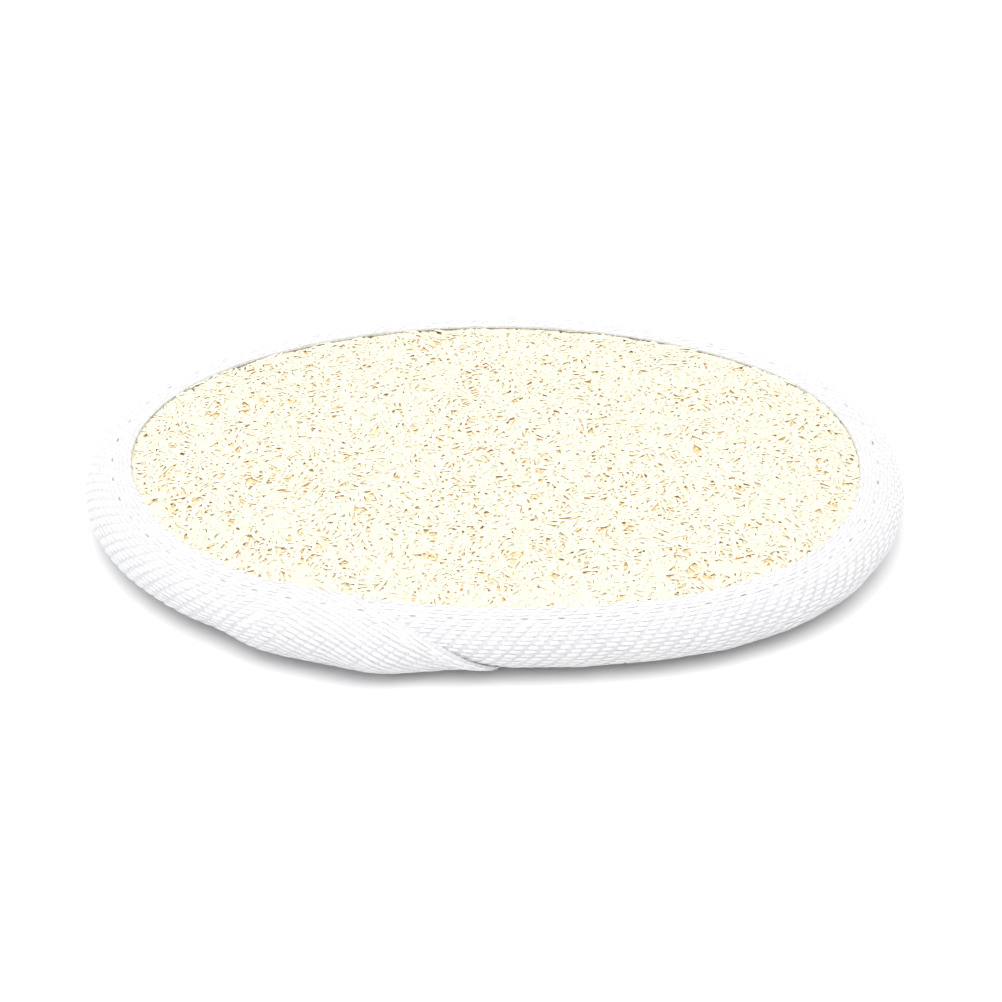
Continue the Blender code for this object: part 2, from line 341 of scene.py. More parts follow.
@dataclass(frozen=True)
class TerryFinish:
    """Unbleached cotton terry: soft off-white pile, with painted shade greying it towards its roots and on
    the ground cloth.
    """

    pile: Colour = (0.90, 0.88, 0.82)
    # Painted shade: the grey that the loops take towards their roots, and that the ground cloth takes under
    # them.
    root: Colour = (0.66, 0.62, 0.54)
    fuzz: float = 0.22 * MM
    fuzz_depth: float = 0.12 * MM

    def make(self, name: str) -> bpy.types.Material:
        """Return the material, which reads the points' painted shade depth and tone."""
        sheet = NodeSheet(name)
        fuzz = sheet.noise(sheet.place(), self.fuzz, 3.0)
        # Painted shade: deep points blend towards the root grey, and tone and fuzz vary it at random.
        share = sheet.attribute("painted_shade") * 0.8 + sheet.attribute("tone") * 0.15 + fuzz * 0.15
        sheet.colour(sheet.blend(share, self.pile, self.root))
        sheet.set(roughness=0.92, sheen_weight=0.3, sheen_roughness=0.6)
        sheet.bump(fuzz, self.fuzz_depth, 0.8)
        return sheet.material


@dataclass(frozen=True)
class ThreadFinish:
    """White sewing thread, its plies twisted round each other."""

    crest: Colour = (0.92, 0.92, 0.91)
    shadow: Colour = (0.70, 0.70, 0.72)
    twist: float = 0.45 * MM
    ply_depth: float = 0.08 * MM

    def make(self, name: str) -> bpy.types.Material:
        """Return the material, whose twist follows the piece's UV map."""
        sheet = NodeSheet(name)
        plies = sheet.bands(self.twist, {"Distortion": 0.4})
        sheet.colour(sheet.blend(plies, self.shadow, self.crest))
        sheet.set(roughness=0.6, sheen_weight=0.15)
        sheet.bump(plies, self.ply_depth, 0.6)
        return sheet.material


@dataclass(frozen=True)
class FloorFinish:
    """The plain pale surface that the pad lies on."""

    colour: Colour = (0.93, 0.93, 0.93)

    def make(self, name: str) -> bpy.types.Material:
        """Return the material."""
        sheet = NodeSheet(name)
        sheet.set(base_color=(*self.colour, 1.0), roughness=0.95)
        return sheet.material


def deselect_all() -> None:
    """Leave edit mode if it is on, and deselect every object."""
    if bpy.context.object and bpy.context.object.mode != "OBJECT":
        bpy.ops.object.mode_set(mode="OBJECT")
    bpy.ops.object.select_all(action="DESELECT")


def dress(piece: bpy.types.Object, name: str, finish: bpy.types.Material,
          nodes: Sequence[str] = ()) -> bpy.types.Object:
    """Name a piece, give it its finish, hang it under the body's empty and hide the CAD nodes that it
    replaces.

    Args:
        piece: The finished mesh object.
        name: Its name.
        finish: Its material.
        nodes: The CAD nodes that the piece replaces.

    Returns:
        The piece.
    """
    piece.name = piece.data.name = name
    piece.data.materials.clear()
    piece.data.materials.append(finish)
    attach(piece, BODY)
    if nodes:
        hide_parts(*nodes)
    return piece


def points_of(mesh: bpy.types.Mesh) -> np.ndarray:
    """Return a mesh's points as rows of x, y and z."""
    flat = np.empty(len(mesh.vertices) * 3)
    mesh.vertices.foreach_get("co", flat)
    return flat.reshape(-1, 3)


def move_points(mesh: bpy.types.Mesh, points: np.ndarray) -> None:
    """Put a mesh's points at new places."""
    mesh.vertices.foreach_set("co", points.ravel())
    mesh.update()


def store(mesh: bpy.types.Mesh, name: str, values: np.ndarray) -> None:
    """Store a number on each of a mesh's points, for its material."""
    layer = mesh.attributes.new(name, "FLOAT", "POINT")
    layer.data.foreach_set("value", np.asarray(values, dtype=np.float32))


def map_flat(mesh: bpy.types.Mesh, flat: np.ndarray) -> None:
    """Keep the points' places on the flat cut, in metres, as the mesh's UV map."""
    layer = mesh.uv_layers[0] if mesh.uv_layers else mesh.uv_layers.new(name="flat_cut")
    corners = np.empty(len(mesh.loops), dtype=np.int64)
    mesh.loops.foreach_get("vertex_index", corners)
    layer.uv.foreach_set("vector", np.ascontiguousarray(flat[corners, :2]).ravel())


def new_piece(points: np.ndarray, faces: Sequence[Sequence[int]]) -> bpy.types.Object:
    """Return a smooth-shaded mesh object with these points and faces, facing outwards."""
    mesh = bpy.data.meshes.new("piece")
    mesh.from_pydata(points.tolist(), [], [list(face) for face in faces])
    piece = bpy.data.objects.new("piece", mesh)
    bpy.context.scene.collection.objects.link(piece)
    mesh.polygons.foreach_set("use_smooth", [True] * len(mesh.polygons))
    return piece


def skin_rings(rings: np.ndarray) -> bpy.types.Object:
    """Skin rings of points, given by ring, by point and by axis, and cap both ends.

    Returns:
        The closed mesh object, facing outwards.
    """
    count, around = rings.shape[:2]
    faces = [range(around - 1, -1, -1), range((count - 1) * around, count * around)]
    for low in range(0, (count - 1) * around, around):
        for index in range(around):
            after = (index + 1) % around
            faces.append((low + index, low + after, low + around + after, low + around + index))
    piece = new_piece(rings.reshape(-1, 3), faces)
    bm = bmesh.new()
    bm.from_mesh(piece.data)
    bmesh.ops.recalc_face_normals(bm, faces=bm.faces[:])
    bm.to_mesh(piece.data)
    bm.free()
    return piece


@dataclass(frozen=True)
class Pattern:
    """One small shape that is copied many times: its points and its faces."""

    points: np.ndarray
    faces: list[tuple[int, ...]]

    @classmethod
    def taken_from(cls, shape: bpy.types.Object) -> "Pattern":
        """Take the pattern from a modelled object, and remove the object."""
        faces = [tuple(polygon.vertices) for polygon in shape.data.polygons]
        pattern = cls(points_of(shape.data), faces)
        bpy.data.objects.remove(shape)
        return pattern

    def copied(self, places: np.ndarray) -> bpy.types.Object:
        """Return one object that holds a copy of the pattern for each set of places.

        Args:
            places: The copies' points, by copy, by point, by axis.

        Returns:
            The new object.
        """
        step = len(self.points)
        faces = []
        for start in range(0, len(places) * step, step):
            faces.extend([tuple(start + corner for corner in face) for face in self.faces])
        return new_piece(places.reshape(-1, 3), faces)


def model_stem(sides: int, shape: Callable[[Vector], Place]) -> Pattern:
    """Model a short stem: a cylinder cut across twice, its points then moved by a rule.

    Args:
        sides: How many sides the stem has.
        shape: The rule, which gives each point's place from its place on a cylinder along Z,
            1 long and 1 thick.

    Returns:
        The stem's pattern.
    """
    deselect_all()
    bpy.ops.mesh.primitive_cylinder_add(vertices=sides, radius=0.5, depth=1.0)
    stem = bpy.context.object
    bm = bmesh.new()
    bm.from_mesh(stem.data)
    long_edges = [edge for edge in bm.edges if abs(edge.verts[0].co.z - edge.verts[1].co.z) > 0.9]
    bmesh.ops.subdivide_edges(bm, edges=long_edges, cuts=2, use_grid_fill=False)
    for vert in bm.verts:
        vert.co = shape(vert.co)
    bm.to_mesh(stem.data)
    bm.free()
    return Pattern.taken_from(stem)


def fibre_point(place: Vector) -> Place:
    """Return a place on a fibre along X, three-sided, flat side up and slim at both ends."""
    slim = 0.4 if abs(place.z) > 0.49 else 1.0
    return place.z, -1.15 * slim * place.x, 0.25 - place.y


def float_point(place: Vector) -> Place:
    """Return a place on a float along X, six-sided, slim and low at both ends."""
    if abs(place.z) > 0.49:
        return place.z, 0.45 * place.y, -0.4 * place.x - 0.3
    return 1.9 * place.z, place.y, -place.x


def turned(heading: np.ndarray, along: np.ndarray, side: np.ndarray) -> tuple[np.ndarray, np.ndarray]:
    """Return the way along x and along y of places ahead and to the side of a heading."""
    cosine, sine = np.cos(heading), np.sin(heading)
    return cosine * along - sine * side, sine * along + cosine * side


@dataclass(frozen=True)
class PadOutline:
    """The tape's inner edge seen from above: an ellipse with the waves of hand sewing."""

    half_length: float = 66.6 * MM
    half_width: float = 47.8 * MM
    centre: Span = (0.7 * MM, -0.57 * MM)
    waves: Waves = field(default_factory=lambda: {3: (-0.0056, -0.0045), 4: (-0.0125, -0.0024),
                                                  5: (-0.0034, 0.0064)})

    def edge(self, angle: Numbers) -> np.ndarray:
        """Return the edge's points, as x and y, at angles round the oval."""
        stretch = 1.0 + swing(self.waves, angle)
        return np.stack([self.centre[0] + self.half_length * np.cos(angle) * stretch,
                         self.centre[1] + self.half_width * np.sin(angle) * stretch], axis=-1)

    def ring(self, angle: np.ndarray, share: float) -> np.ndarray:
        """Return the points of a smaller ring, at a share of the way from the middle to the edge."""
        return np.array(self.centre) + (self.edge(angle) - self.centre) * share

    def outward(self, angle: np.ndarray) -> np.ndarray:
        """Return the level directions that point away from the face."""
        along = self.edge(angle + 0.001) - self.edge(angle - 0.001)
        away = np.stack([along[..., 1], -along[..., 0]], axis=-1)
        return away / np.linalg.norm(away, axis=-1, keepdims=True)

    def walk(self) -> tuple[np.ndarray, np.ndarray]:
        """Return angles round the edge from the front middle, and the distance walked to each."""
        angles = np.linspace(-math.pi / 2, 3 * math.pi / 2, 1441)
        return angles, walked(self.edge(angles))

    def length(self) -> float:
        """Return the way once round the edge."""
        return float(self.walk()[1][-1])

    def angles_at(self, distance: np.ndarray) -> np.ndarray:
        """Return the angles at distances along the edge from the front middle, towards +X."""
        angles, distances = self.walk()
        return np.interp(distance % distances[-1], distances, angles)

    def share(self, x: Numbers, y: Numbers) -> Numbers:
        """Return how far out points lie: 0 in the middle of the face and 1 on its edge."""
        across, up = x - self.centre[0], y - self.centre[1]
        edge = self.edge(np.arctan2(up / self.half_width, across / self.half_length)) - self.centre
        return np.hypot(across, up) / np.linalg.norm(edge, axis=-1)


@dataclass(frozen=True)
class TapeFold:
    """The fold of the tape round the pad's edge, its lap and its seam."""

    outline: PadOutline
    reach: float = 8.1 * MM
    reach_waves: Waves = field(default_factory=lambda: {1: (-0.015, 0.12), 2: (0.043, 0.077)})
    top: float = 12.3 * MM
    bottom: float = 1.1 * MM
    seam_turn: float = math.radians(25)
    seam_groove: float = 0.14 * MM
    seam_groove_turn: float = math.radians(6)
    lap_end: float = -9 * MM
    lap_slant: float = 24 * MM
    lap_slant_reach: float = 30 * MM
    cut_end: float = -4.9 * MM
    cut_slant: float = 34 * MM
    cut_last: float = 2.0 * MM
    lap_back: float = 37 * MM
    lap_ramp: float = 10 * MM
    lap_taper: float = 16 * MM
    lap_height: float = 1.75 * MM
    lap_end_height: float = 0.48 * MM
    fold_back: float = 18.5 * MM
    fold_ramp: float = 9 * MM
    fold_taper: float = 18 * MM
    fold_height: float = 1.9 * MM
    sewn_share: float = 0.2

    def middle(self) -> float:
        """Return the height of the fold's middle."""
        return (self.top + self.bottom) / 2

    def half_height(self) -> float:
        """Return half the height of the folded edge."""
        return (self.top - self.bottom) / 2

    def place(self, distance: Numbers, turn: Numbers, depth: Numbers) -> np.ndarray:
        """Return points of the folded edge.

        Args:
            distance: Ways along the tape's inner edge from the front middle.
            turn: Turns round the fold, 0 at its upper inner edge and pi at its lower one.
            depth: Depths into the fold from the tape's plain surface.

        Returns:
            The points, with their x, y and z on the last axis.
        """
        distance, turn, depth = np.broadcast_arrays(distance, turn, depth)
        angle = self.outline.angles_at(distance)
        reach = self.reach * (1.0 + swing(self.reach_waves, angle))
        away = (reach - depth) * np.sin(turn)
        level = self.outline.edge(angle) + self.outline.outward(angle) * away[..., None]
        height = self.middle() + (self.half_height() - depth) * np.cos(turn)
        return np.concatenate([level, height[..., None]], axis=-1)

    def section(self) -> tuple[np.ndarray, np.ndarray]:
        """Return turns round the fold and the way over the tape's surface to each."""
        turns = np.linspace(0.0, math.pi, 361)
        points = np.stack([self.reach * np.sin(turns), self.half_height() * np.cos(turns)], axis=-1)
        return turns, walked(points)

    def width(self) -> float:
        """Return the width of the tape, from its upper edge over the fold to its lower edge."""
        return float(self.section()[1][-1])

    def turn_at(self, way: np.ndarray) -> np.ndarray:
        """Return the turns at ways over the tape from its upper inner edge."""
        turns, ways = self.section()
        return np.interp(way, ways, turns)

    def cut(self, turn: Numbers) -> Numbers:
        """Return the distances of the tape's slanted cut from the front middle."""
        return np.minimum(self.cut_end + self.cut_slant * (turn / math.pi - 0.5), self.cut_last)

    def back(self, distance: np.ndarray, turn: np.ndarray) -> np.ndarray:
        """Return how far back from the lap's end points are, along lines that lean as the end does."""
        station = distance
        for _ in range(12):
            way = np.clip(np.abs(station - self.lap_end) / self.lap_slant_reach, 0.0, 1.0)
            station = distance - np.cos(way * math.pi / 2) ** 2 * self.lap_slant * (turn / math.pi - 0.5)
        return self.lap_end - station

    def lap(self, distance: np.ndarray, turn: np.ndarray) -> np.ndarray:
        """Return how far the upper run of the lap stands off the plain surface."""
        back = self.back(distance, turn)
        two_runs = smooth((self.lap_back - back) / self.lap_ramp)
        towards_end = 1.0 - smooth(back / self.lap_taper)
        height = two_runs * (self.lap_height - (self.lap_height - self.lap_end_height) * towards_end)
        fold = smooth((self.fold_back - back) / self.fold_ramp) * smooth(back / self.fold_taper)
        height = height + fold * self.fold_height
        return height * (self.sewn_share + (1.0 - self.sewn_share) * np.sin(turn) ** 2)

    def off_seam(self, turn: np.ndarray) -> np.ndarray:
        """Return how far round the fold points lie from the nearer of the two seams."""
        return np.minimum(np.abs(turn - self.seam_turn), np.abs(math.pi - turn - self.seam_turn))

    def groove(self, turn: np.ndarray) -> np.ndarray:
        """Return how deep the seam pulls the tape in."""
        return self.seam_groove * np.exp(-(self.off_seam(turn) / self.seam_groove_turn) ** 2)


@dataclass(frozen=True)
class FibreLayer:
    """One layer of fibres: how many are tried and how deep their crests lie below the face."""

    name: str
    tried: int
    seed: int
    sunk: Span
    clears_holes: bool = True


@dataclass
class LoofahMat:
    """The loofah: a pressed mat under three layers of grown fibres that cross in all directions."""

    outline: PadOutline
    fold: TapeFold
    finish: LoofahFinish
    edge_height: float = 11.7 * MM
    pinch: float = 6.5 * MM
    swell: float = 0.75 * MM
    crown: float = 0.55 * MM
    dimple_depth: float = 0.16 * MM
    dimple_size: float = 9 * MM
    mat_depth: float = 0.50 * MM
    lump_height: float = 0.12 * MM
    lump_size: float = 1.6 * MM
    tucked_turn: float = math.radians(140)
    tucked_depth: float = 1.35 * MM
    under_tape: float = 0.62 * MM
    tucked_share: float = 1.09
    strand_swing: float = 1.3
    strand_size: float = 16 * MM
    strand_spread: float = 0.4
    loose_share: float = 0.75
    loose_turn: float = 1.6
    lengthways: float = 1.6
    over_tape: float = 0.38
    over_back: float = 0.3
    over_share: float = 1.008
    over_lift: float = 0.40 * MM
    rim_share: float = 0.975
    rim_blend: float = 0.03
    rim_flatness: float = 0.5
    fibre_length: Span = (2.2 * MM, 5.8 * MM)
    fibre_width: Span = (0.40 * MM, 0.72 * MM)
    fibre_height: float = 0.28 * MM
    fibre_bend: float = 0.28
    fibre_tilt: float = 0.015
    fibre_dive: Span = (0.15 * MM, 0.5 * MM)
    # Painted shade: fibre points start taking the deep colour pale_depth below the face, and take all of it
    # deep_depth further down.
    pale_depth: float = 0.13 * MM
    deep_depth: float = 0.42 * MM
    hole_count: int = 190
    hole_size: Span = (0.15 * MM, 0.50 * MM)
    hole_share: float = 0.985
    hole_chance_at_back: float = 0.3
    seed: int = 7
    layers: tuple[FibreLayer, ...] = (
        FibreLayer("loofah_fibres_deep", 11700, 21, (0.22 * MM, 0.38 * MM), clears_holes=False),
        FibreLayer("loofah_fibres_middle", 12400, 22, (0.09 * MM, 0.22 * MM)),
        FibreLayer("loofah_fibres_face", 12400, 23, (0.0, 0.11 * MM)))

    def face_height(self, x: np.ndarray, y: np.ndarray) -> np.ndarray:
        """Return the height of the crests of the face's fibres."""
        share = self.outline.share(x, y).clip(0.01)
        inward = (1.0 - share) * self.outline.half_width
        rise = self.swell * smooth(inward / self.pinch) + self.crown * np.clip(1.0 - share ** 2, 0.0, 1.0)
        height = self.edge_height + rise + self.dimple_depth * ripple(x, y, self.dimple_size, self.seed)
        beyond = np.hypot(x - self.outline.centre[0], y - self.outline.centre[1]) * (1.0 - 1.0 / share)
        reach = self.fold.reach - self.under_tape
        lid = np.sqrt(np.clip(1.0 - (beyond.clip(0.0) / reach) ** 2, 0.0, 1.0))
        under = self.fold.middle() + (self.fold.half_height() - self.under_tape) * lid
        return np.where(beyond > 0.0, np.minimum(height, under), height)

    def holes(self) -> np.ndarray:
        """Return the places and sizes of the gaps in the face, more of them towards the front."""
        draw = np.random.default_rng(self.seed + 1)
        found = []
        while len(found) < self.hole_count:
            x = draw.uniform(-1, 1) * self.outline.half_length
            y = draw.uniform(-1, 1) * self.outline.half_width
            front = smooth(0.5 - y / (1.4 * self.outline.half_width))
            chance = self.hole_chance_at_back + (1.0 - self.hole_chance_at_back) * front
            if self.outline.share(x, y) < self.hole_share and draw.uniform() < chance:
                found.append((x, y, draw.uniform(*self.hole_size)))
        return np.array(found)

    def build_mat(self) -> bpy.types.Object:
        """Model the mat, a closed pad with a round edge and a lumpy upper face."""
        around = np.linspace(0.0, self.outline.length(), 240, endpoint=False)
        turns = np.linspace(self.tucked_turn, 0.0, 9)
        rings = [self.fold.place(around, turn, self.tucked_depth) for turn in turns]
        angles = self.outline.angles_at(around)
        for share in np.linspace(0.985, 0.03, 60):
            level = self.outline.ring(angles, share)
            x, y = level.T
            height = self.face_height(x, y) - self.mat_depth
            height += self.lump_height * ripple(x, y, self.lump_size, self.seed + 2, 10)
            rings.append(np.concatenate([level, height[:, None]], axis=1))
        piece = skin_rings(np.array(rings))
        points = points_of(piece.data)
        # Painted shade: the whole mat is coloured nine tenths of the way to the deep colour, as shade under
        # the fibres.
        store(piece.data, "painted_shade", np.full(len(points), 0.9))
        store(piece.data, "tone", 0.5 + 0.4 * ripple(points[:, 0], points[:, 1], 2 * MM, self.seed + 3))
        return piece

    @staticmethod
    def soften_along(piece: bpy.types.Object) -> None:
        """Shade the fibres smooth along their length and crisp across their edges."""
        deselect_all()
        piece.select_set(True)
        bpy.context.view_layer.objects.active = piece
        bpy.ops.object.shade_smooth_by_angle(angle=math.radians(40))

    def lay_fibres(self, layer: FibreLayer) -> bpy.types.Object:
        """Lay one layer of fibres over the face.

        Args:
            layer: The layer's numbers.

        Returns:
            The layer as one object.
        """
        draw = np.random.default_rng(layer.seed)
        count, centre = layer.tried, self.outline.centre
        x = draw.uniform(-1.08, 1.08, count) * self.outline.half_length + centre[0]
        y = draw.uniform(-1.08, 1.08, count) * self.outline.half_width + centre[1]
        strand = self.strand_swing * ripple(x, y, self.strand_size, self.seed + 5)
        loose = draw.uniform(size=count) < self.loose_share
        heading = strand + np.where(loose, draw.uniform(-self.loose_turn, self.loose_turn, count),
                                    draw.normal(0.0, self.strand_spread, count))
        heading = np.arctan2(self.lengthways * np.sin(heading), np.cos(heading))
        at_back = y > self.over_back * self.outline.half_width
        over = (draw.uniform(size=count) < self.over_tape) & at_back
        half = draw.uniform(*self.fibre_length, count) / 2
        thick = draw.uniform(*self.fibre_width, count)
        bend = draw.normal(0.0, self.fibre_bend, count)
        lowered = draw.uniform(*layer.sunk, count)
        tilt = draw.normal(0.0, self.fibre_tilt, count)
        dive = draw.uniform(*self.fibre_dive, count)
        tone = draw.uniform(0.0, 1.0, count)
        way = np.linspace(-1.0, 1.0, 5)
        for _ in range(8):
            line_x = x[:, None] + np.cos(heading)[:, None] * way * half[:, None]
            line_y = y[:, None] + np.sin(heading)[:, None] * way * half[:, None]
            furthest = self.outline.share(line_x, line_y).max(axis=1)
            outside = furthest > self.tucked_share
            half = np.where(outside, half * 0.8, half)
        keep = ~outside
        if layer.clears_holes:
            for hole_x, hole_y, size in self.holes():
                gap = np.hypot(line_x - hole_x, line_y - hole_y).min(axis=1)
                keep &= gap > size + thick * 0.3
        over &= furthest < self.over_share
        drawn = (x, y, heading, half, thick, bend, lowered, tilt, dive, tone, over)
        x, y, heading, half, thick, bend, lowered, tilt, dive, tone, over = (
            numbers[keep][:, None] for numbers in drawn)
        pattern = model_stem(3, fibre_point)
        along, side, up = (pattern.points[:, axis][None, :] for axis in range(3))
        way_x, way_y = turned(heading + bend * along * 2.0, along * 2.0 * half, side * thick)
        place_x, place_y = x + way_x, y + way_y
        rim = smooth((self.outline.share(place_x, place_y) - self.rim_share) / self.rim_blend)
        face = self.face_height(place_x, place_y)
        crest = face - (lowered + dive * np.abs(2.0 * along) ** 3) * (1.0 - self.rim_flatness * rim)
        crest += np.where(over, self.over_lift * rim, 0.0)
        place_z = crest + tilt * along * 2.0 * half + (up - 0.5) * self.fibre_height
        piece = pattern.copied(np.stack([place_x, place_y, place_z], axis=-1))
        self.soften_along(piece)
        # Painted shade: the deeper a fibre point lies below the face, the more of the deep colour it takes.
        store(piece.data, "painted_shade", smooth((face - place_z - self.pale_depth) / self.deep_depth).ravel())
        store(piece.data, "tone", np.broadcast_to(tone, place_x.shape).ravel())
        return piece

    def build(self) -> None:
        """Build and dress the mat and its fibres."""
        material = self.finish.make("loofah_fibre")
        mat = dress(self.build_mat(), "loofah_mat", material, ["loofah_pad"])
        for layer in self.layers:
            fibres = dress(self.lay_fibres(layer), layer.name, material)
            LOG.info("%s: %d faces", layer.name, len(fibres.data.polygons))


@dataclass
class BindingTape:
    """The twill tape, cut flat, folded round the edge and lapped at the front left."""

    fold: TapeFold
    finish: CottonTapeFinish
    thickness: float = 0.55 * MM
    rows: int = 28
    columns: int = 560
    under_rows: int = 8
    twill_pitch: float = 2.5 * MM
    twill_lean: float = 0.72 * MM
    float_length: float = 2.1 * MM
    float_height: float = 0.32 * MM
    ground_depth: float = 0.13 * MM
    lap_turn: float = 0.42
    lap_turn_ramp: float = 8 * MM
    lap_length: float = 32 * MM
    stitch: float = 6.2 * MM
    slit: float = 1.4 * MM
    pit_depth: float = 0.25 * MM
    pressed_depth: float = 0.22 * MM
    pressed_ramp: float = 3.0 * MM
    start: float = -41 * MM
    hem: float = 4.5 * MM
    hem_lift: float = 0.16 * MM
    hem_ramp: float = 0.8 * MM
    hem_cords: int = 3
    edge_round: float = 1.3 * MM
    wrinkles: tuple[Span, Span] = ((0.10 * MM, 14 * MM), (0.08 * MM, 30 * MM))

    def cut_flat(self) -> bpy.types.Object:
        """Lay the strip flat: X along it, Y across it, Z 0 on its outer side and down on its inner side.

        Returns:
            The strip, a band longer than the tape and open at both ends. Its first and last rows meet.
        """
        width = self.fold.width()
        over, under = np.linspace(0.0, width, self.rows + 1), np.linspace(width, 0.0, self.under_rows)
        across = np.concatenate([over, under, [0.0]])
        level = np.concatenate([over * 0.0, np.full(len(under), -self.thickness), [0.0]])
        first = self.start - self.twill_pitch
        last = self.fold.outline.length() + float(self.fold.cut(math.pi)) + self.twill_pitch
        deselect_all()
        bpy.ops.mesh.primitive_grid_add(x_subdivisions=self.columns, y_subdivisions=len(across) - 1,
                                        size=1.0)
        strip = bpy.context.object
        points = points_of(strip.data)
        row_index = np.rint((points[:, 1] + 0.5) * (len(across) - 1)).astype(int)
        points[:, 0] = first + (points[:, 0] + 0.5) * (last - first)
        points[:, 1] = across[row_index]
        points[:, 2] = level[row_index]
        move_points(strip.data, points)
        return strip

    def trim(self, strip: bpy.types.Object) -> None:
        """Join the flat strip's rows, cut its ends, on the slant where the lap ends, and close them."""
        length, width = self.fold.outline.length(), self.fold.width()
        slant = Vector((width, -self.fold.cut_slant, 0.0)).normalized()
        cuts = ((self.start, Vector((-1.0, 0.0, 0.0))), (length + float(self.fold.cut(0.0)), slant),
                (length + self.fold.cut_last, Vector((1.0, 0.0, 0.0))))
        bpy.ops.object.mode_set(mode="EDIT")
        bpy.ops.mesh.select_all(action="SELECT")
        bpy.ops.mesh.remove_doubles(threshold=0.001 * MM)
        for along, outside in cuts:
            bpy.ops.mesh.select_all(action="SELECT")
            bpy.ops.mesh.bisect(plane_co=(along, 0.0, 0.0), plane_no=outside, clear_outer=True)
        bpy.ops.object.mode_set(mode="OBJECT")
        bm = bmesh.new()
        bm.from_mesh(strip.data)
        rims = [edge for edge in bm.edges if edge.is_boundary
                and abs(edge.verts[0].co.z - edge.verts[1].co.z) < 0.5 * self.thickness]
        for at_start in (True, False):
            rim = [edge for edge in rims if (edge.verts[0].co.x < 0.0) == at_start]
            bmesh.ops.bridge_loops(bm, edges=rim)
        bmesh.ops.recalc_face_normals(bm, faces=bm.faces[:])
        bm.to_mesh(strip.data)
        bm.free()

    def chart(self) -> Callable[[np.ndarray, np.ndarray], np.ndarray]:
        """Measure the folded tape's outer side, lap and all.

        Returns:
            A function that gives the turns of points from their ways along the tape and their true
            distances over its outer side from the upper inner edge.
        """
        ways = np.arange(self.start - 4 * MM, self.fold.outline.length() + 8 * MM, 1 * MM)
        turns = np.linspace(0.0, math.pi, 121)
        surface = self.surface(*np.meshgrid(ways, turns, indexing="ij"))
        measured = walked(self.fold.place(ways[:, None], turns[None, :], surface))
        scale = np.linspace(0.0, 1.5 * self.fold.width(), 241)
        table = np.array([np.interp(scale, row, turns, right=math.pi + 0.2) for row in measured])

        def turns_at(along: np.ndarray, across: np.ndarray) -> np.ndarray:
            """Return the turns of points, read between the table's lines."""
            line = np.clip((along - ways[0]) / (ways[1] - ways[0]), 0.0, len(ways) - 1.001)
            column = np.clip(across / scale[1], 0.0, len(scale) - 1.001)
            low, left = line.astype(int), column.astype(int)
            up, right = line - low, column - left
            first = table[low, left] * (1.0 - right) + table[low, left + 1] * right
            second = table[low + 1, left] * (1.0 - right) + table[low + 1, left + 1] * right
            return first * (1.0 - up) + second * up

        return turns_at

    def plan_floats(self, turns_at: Callable[[np.ndarray, np.ndarray], np.ndarray]) -> np.ndarray:
        """Plan the floats, along the tape and, in the hem, beside its slanted cut.

        Args:
            turns_at: The chart of the tape's outer side.

        Returns:
            For each float, its middle's ways along and across the tape and its heading.
        """
        width, length = self.fold.width(), self.fold.outline.length()
        row = width / self.rows
        places = []
        for index in range(int(1.45 * self.rows)):
            across = (index + 0.5) * row
            first = -math.ceil(-self.start / self.twill_pitch) * self.twill_pitch
            first -= index * self.twill_lean % self.twill_pitch
            along = np.arange(first, length + self.hem, self.twill_pitch)
            turn = turns_at(along, np.full(len(along), across))
            shown = (turn < math.pi) & (along > self.fold.cut(turn) - self.twill_pitch)
            shown &= along < length + self.fold.cut(turn) - 0.6 * self.float_length
            middles = np.stack([along, np.full(len(along), across), np.zeros(len(along))], axis=1)
            places.append(middles[shown])
        heading = math.atan2(width, self.fold.cut_slant)
        corner = np.array([length + float(self.fold.cut(0.0)), 0.0])
        ahead = np.array([math.cos(heading), math.sin(heading)])
        back = np.array([-math.sin(heading), math.cos(heading)])
        for index in range(self.hem_cords):
            ways = np.arange(-index * self.twill_lean, width / math.sin(heading), self.float_length * 0.9)
            aside = (index + 0.5) / self.hem_cords * self.hem * math.sin(heading)
            middles = corner + ahead * ways[:, None] + back * aside
            inside = (middles[:, 1] > 0.4 * row) & (middles[:, 1] < 0.8 * width)
            inside &= middles[:, 0] < length + self.fold.cut_last - 0.4 * self.float_length
            places.append(np.concatenate([middles[inside], np.full((inside.sum(), 1), heading)], axis=1))
        return np.concatenate(places)

    def lay_floats(self) -> bpy.types.Object:
        """Lay the floats on the tape and fold them with it.

        Returns:
            The floats as one object.
        """
        draw = np.random.default_rng(51)
        turns_at = self.chart()
        plan = self.plan_floats(turns_at)
        middles, heading = plan[:, :2], plan[:, 2]
        count, row = len(plan), self.fold.width() / self.rows
        past_lap = middles[:, 0] - self.fold.outline.length() + self.fold.lap_back
        on_lap = smooth(past_lap / self.lap_turn_ramp) * (heading == 0.0)
        heading = heading + self.lap_turn * on_lap + draw.normal(-0.06, 0.05, count)
        middles, length = self.part_at_stitches(middles, self.float_length * draw.uniform(0.85, 1.1, count))
        pattern = model_stem(6, float_point)
        x, y, z = (pattern.points[:, axis][None, :] for axis in range(3))
        heading = heading[:, None]
        x = x * length[:, None] + draw.normal(0.0, 0.07 * MM, count)[:, None]
        y = y * row * draw.uniform(0.72, 1.06, count)[:, None]
        ahead, aside = turned(heading, x, y)
        along, across = middles[:, :1] + ahead, (middles[:, 1:] + aside).clip(0.0)
        turn = turns_at(along, across).clip(0.0, math.pi)
        rise = z * draw.uniform(0.6, 1.1, count)[:, None] + draw.uniform(-0.1, 0.15, count)[:, None]
        depth = self.surface(along, turn) + self.pit_depth * self.pits(along, turn)
        depth += self.ground_depth - self.float_height * rise
        piece = pattern.copied(self.fold.place(along, turn, depth))
        map_flat(piece.data, np.stack([along.ravel(), across.ravel()], axis=1))
